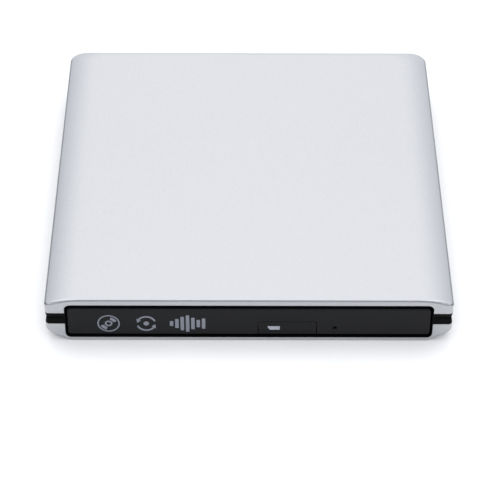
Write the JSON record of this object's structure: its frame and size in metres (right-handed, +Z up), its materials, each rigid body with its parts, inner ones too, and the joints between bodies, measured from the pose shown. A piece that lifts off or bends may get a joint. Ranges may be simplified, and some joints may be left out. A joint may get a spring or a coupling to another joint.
{
  "type": "external optical drive",
  "caption": "Slim tray-loading optical drive in a silver two-shell enclosure with a black mid band, front bezel, eject button and rear sockets.",
  "frame": {"origin": "middle of the footprint, on the surface that the rubber feet stand on", "axes": "+Z up, the bezel faces -Y, +X to the right of someone facing the bezel"},
  "size_m": [0.145, 0.152, 0.0194],
  "materials": {
    "silver_paint": "satin, very fine speckle",
    "black_plastic": "fine moulded grain",
    "bezel_black": "fine moulded grain, slight sheen",
    "rubber": "matt",
    "steel": "bright, machined",
    "zinc_steel": "zinc plated sheet",
    "circuit_board": "solder mask",
    "chip": "moulded epoxy",
    "white_plastic": "natural acetal",
    "light_window": "frosted light pipe",
    "brass": "turned",
    "lens": "coated lens",
    "ribbon": "polyester flat cable"
  },
  "bodies": {
    "case": {"top_skin": "silver_paint", "upper_frame": "black_plastic", "lower_frame": "black_plastic", "bottom_skin": "silver_paint", "foot_front_left": "rubber", "foot_front_right": "rubber", "foot_rear_left": "rubber", "foot_rear_right": "rubber", "case_screw_left": "zinc_steel", "case_screw_right": "zinc_steel", "port_panel": "black_plastic", "bridge_board": "circuit_board", "bridge_chip": "chip", "usb_port": "steel", "dc_jack": "black_plastic", "bridge_sata_socket": "black_plastic", "drive_chassis": "zinc_steel", "drive_cover": "zinc_steel", "guide_left": "white_plastic", "guide_right": "white_plastic", "drive_board": "circuit_board", "drive_sata_plug": "black_plastic", "catch_post": "steel", "ribbon_cable": "ribbon"},
    "tray": {"tray": "black_plastic", "bezel": "bezel_black", "under_plate": "zinc_steel", "tray_board": "circuit_board", "drive_chip": "chip", "traverse_chassis": "zinc_steel", "traverse_cover": "zinc_steel", "spindle_motor": "steel", "guide_shaft_main": "steel", "guide_shaft_sub": "steel", "stepper_motor": "zinc_steel", "grommet_1": "rubber", "grommet_2": "rubber", "grommet_3": "rubber", "latch_solenoid": "steel", "eject_spring": "steel", "eject_pusher": "white_plastic"},
    "rail_left": {"rail_left": "steel"},
    "rail_right": {"rail_right": "steel"},
    "spindle": {"turntable": "steel", "turntable_ring": "rubber"},
    "claw_1": {"clamp_claw_1": "white_plastic"},
    "claw_2": {"clamp_claw_2": "white_plastic"},
    "claw_3": {"clamp_claw_3": "white_plastic"},
    "sled": {"pickup_sled": "zinc_steel"},
    "lens_carrier": {"lens_holder": "black_plastic", "lens": "lens"},
    "lead_screw": {"lead_screw": "brass"},
    "button": {"eject_button": "bezel_black", "light_window": "light_window"},
    "latch": {"latch_lever": "white_plastic"},
    "plunger": {"solenoid_plunger": "steel"}
  },
  "joints": [
    {"name": "tray_slide", "type": "slide", "parent": "case", "child": "tray", "axis": [0, -1, 0], "range_m": [0, 0.128], "deforming": ["ribbon_cable"]},
    {"name": "rail_left_slide", "type": "slide", "parent": "case", "child": "rail_left", "axis": [0, -1, 0], "range_m": [0, 0.064]},
    {"name": "rail_right_slide", "type": "slide", "parent": "case", "child": "rail_right", "axis": [0, -1, 0], "range_m": [0, 0.064]},
    {"name": "spindle_spin", "type": "hinge", "parent": "tray", "child": "spindle", "pos_m": [0, -0.009, 0.0114], "axis": [0, 0, 1], "continuous": true},
    {"name": "sled_slide", "type": "slide", "parent": "tray", "child": "sled", "axis": [-0.7071, -0.7071, 0], "range_m": [0, 0.0345]},
    {"name": "lens_focus", "type": "slide", "parent": "sled", "child": "lens_carrier", "axis": [0, 0, 1], "range_m": [-0.0004, 0.0004], "stiffness_N_per_m": 20},
    {"name": "lead_screw_spin", "type": "hinge", "parent": "tray", "child": "lead_screw", "pos_m": [0.01379, -0.02279, 0.007], "axis": [-0.7071, -0.7071, 0], "range_deg": [0, 4160]},
    {"name": "button_press", "type": "slide", "parent": "tray", "child": "button", "axis": [0, 1, 0], "range_m": [0, 0.0008], "stiffness_N_per_m": 500},
    {"name": "latch_turn", "type": "hinge", "parent": "tray", "child": "latch", "pos_m": [0.046, -0.049, 0.0065], "axis": [0, 0, 1], "range_deg": [0, 15]},
    {"name": "plunger_slide", "type": "slide", "parent": "tray", "child": "plunger", "axis": [1, 0, 0], "range_m": [0, 0.00146], "stiffness_N_per_m": 60},
    {"name": "claw_1_slide", "type": "slide", "parent": "spindle", "child": "claw_1", "axis": [-0.866, -0.5, 0], "range_m": [0, 0.0006], "stiffness_N_per_m": 200},
    {"name": "claw_2_slide", "type": "slide", "parent": "spindle", "child": "claw_2", "axis": [0.866, -0.5, 0], "range_m": [0, 0.0006], "stiffness_N_per_m": 200},
    {"name": "claw_3_slide", "type": "slide", "parent": "spindle", "child": "claw_3", "axis": [0, 1, 0], "range_m": [0, 0.0006], "stiffness_N_per_m": 200}
  ],
  "couplings": [
    {"joint": "rail_left_slide", "follows": "tray_slide", "ratio": 0.5},
    {"joint": "rail_right_slide", "follows": "tray_slide", "ratio": 0.5},
    {"joint": "lead_screw_spin", "follows": "sled_slide", "rad_per_m": 2094.4},
    {"joint": "latch_turn", "follows": "plunger_slide", "rad_per_m": 178.57}
  ]
}
